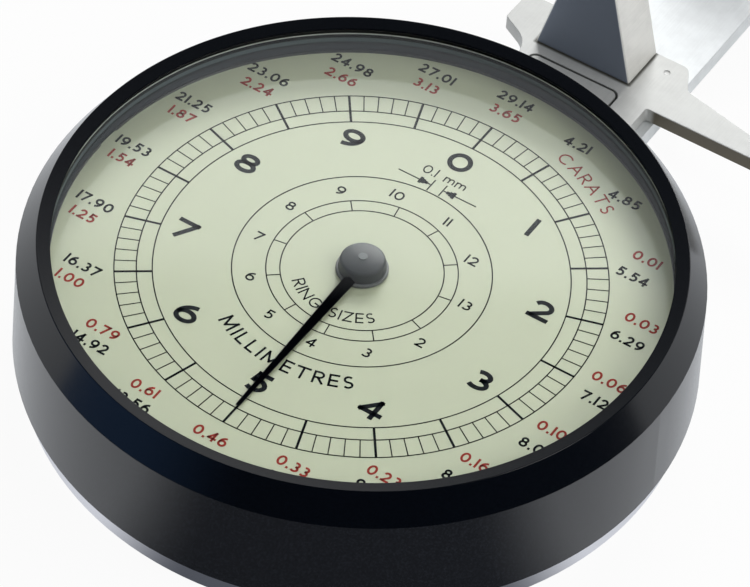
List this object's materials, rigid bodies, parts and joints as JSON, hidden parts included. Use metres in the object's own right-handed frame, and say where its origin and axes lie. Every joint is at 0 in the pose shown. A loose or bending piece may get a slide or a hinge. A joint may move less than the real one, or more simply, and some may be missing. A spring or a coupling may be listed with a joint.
{
  "type": "dial gem gauge",
  "caption": "Round dial gauge with a sliding steel head: upright anvils measure stones from outside, slim jaws measure rings from inside.",
  "frame": {"origin": "on the dial's axis, at the back cover's flat rest face", "axes": "+Z out through the dial, +Y along the slide towards the jaws, +X to the dial's right; the slide stands fully open at 25 mm"},
  "size_m": [0.06, 0.105, 0.017],
  "materials": {
    "black_satin": "satin black, fine grain",
    "silver_cover": "satin silver",
    "steel_screw": "turned",
    "glass": "clear",
    "gasket_rubber": "matte",
    "dial_cream": "matte cream, printed",
    "ring_dark": "blackened",
    "movement_brass": "satin",
    "bush_bronze": "turned",
    "spring_bronze": "bright",
    "ground_steel": "fine ground",
    "pointer_dark": "satin dark grey",
    "collar_grey": "satin grey"
  },
  "bodies": {
    "case": {"case_body": "black_satin", "back_cover": "silver_cover", "back_cover_screws": "steel_screw", "bezel": "black_satin", "crystal": "glass", "crystal_gasket": "gasket_rubber", "dial_plate": "dial_cream", "dial_retaining_ring": "ring_dark", "lower_plate": "movement_brass", "lower_plate_screws": "steel_screw", "upper_plate": "movement_brass", "plate_pillars": "movement_brass", "upper_plate_screws": "steel_screw", "centre_bushes": "bush_bronze", "take_up_bushes": "bush_bronze", "left_guide": "ground_steel", "right_guide": "ground_steel", "guide_screws": "steel_screw", "fixed_jaw_plate": "ground_steel", "jaw_plate_screws": "steel_screw", "neck_tongue": "ground_steel", "tongue_screws": "steel_screw", "fixed_anvil": "ground_steel", "fixed_anvil_screws": "steel_screw", "hairspring": "spring_bronze", "hairspring_stud": "movement_brass"},
    "slide": {"slide": "ground_steel", "rack": "movement_brass", "rack_screws": "steel_screw", "moving_anvil": "ground_steel", "moving_anvil_screws": "steel_screw", "slide_stop_pin": "ground_steel"},
    "pointer": {"centre_arbor": "ground_steel", "pointer_collar": "collar_grey", "pointer": "pointer_dark"},
    "take_up": {"take_up_wheel": "movement_brass", "take_up_arbor": "ground_steel", "hairspring_collet": "movement_brass"}
  },
  "joints": [
    {"name": "slide_travel", "type": "slide", "parent": "case", "child": "slide", "axis": [0, 1, 0], "range_m": [-0.025, 0]},
    {"name": "pointer_turn", "type": "hinge", "parent": "case", "child": "pointer", "pos_m": [0, 0, 0], "axis": [0, 0, 1], "range_deg": [-1, 901]},
    {"name": "take_up_turn", "type": "hinge", "parent": "case", "child": "take_up", "pos_m": [0, -0.00955, 0], "axis": [0, 0, 1], "range_deg": [-181, 1], "deforming": ["hairspring"]}
  ],
  "couplings": [
    {"joint": "pointer_turn", "follows": "slide_travel", "rad_per_m": -628.32},
    {"joint": "take_up_turn", "follows": "slide_travel", "rad_per_m": 125.66}
  ]
}
